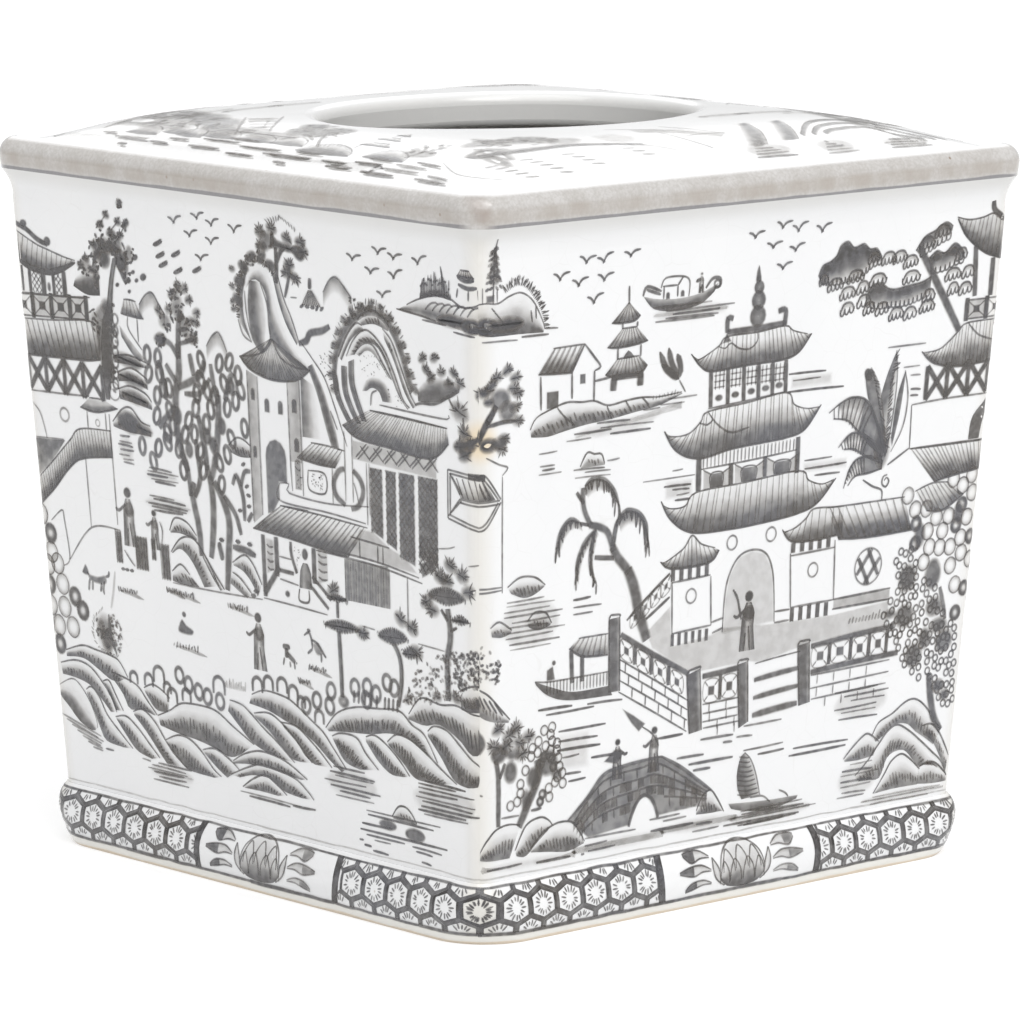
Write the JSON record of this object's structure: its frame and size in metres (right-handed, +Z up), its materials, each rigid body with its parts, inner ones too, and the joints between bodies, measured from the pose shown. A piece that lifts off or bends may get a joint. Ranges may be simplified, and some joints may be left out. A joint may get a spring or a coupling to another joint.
{
  "type": "tissue box cover",
  "caption": "Square tapered porcelain cover that drops over a cube tissue carton, with a rolled rim, a bulging foot belt and a crowned top with an oval opening to pull tissues through.",
  "frame": {"origin": "middle of the foot, on the surface that the cover stands on", "axes": "+Z up, front wall towards -Y, +X along the front wall and the long axis of the opening"},
  "size_m": [0.152, 0.152, 0.1541],
  "materials": {
    "white_glaze": "glossy cool white glaze over porcelain, finely crackled, painted in grey under the glaze",
    "rim_glaze": "glossy taupe crackle glaze with brown specks",
    "inside_glaze": "thin satin glaze over pale clay"
  },
  "bodies": {
    "root": {"wall_front": "white_glaze", "wall_right": "white_glaze", "wall_back": "white_glaze", "wall_left": "white_glaze", "top_panel": "white_glaze", "belt_front": "white_glaze", "belt_right": "white_glaze", "belt_back": "white_glaze", "belt_left": "white_glaze", "rim_front": "rim_glaze", "rim_right": "rim_glaze", "rim_back": "rim_glaze", "rim_left": "rim_glaze", "corner_coil_front_right": "inside_glaze", "corner_coil_back_right": "inside_glaze", "corner_coil_back_left": "inside_glaze", "corner_coil_front_left": "inside_glaze", "top_coil_front": "inside_glaze", "top_coil_right": "inside_glaze", "top_coil_back": "inside_glaze", "top_coil_left": "inside_glaze"}
  },
  "joints": []
}
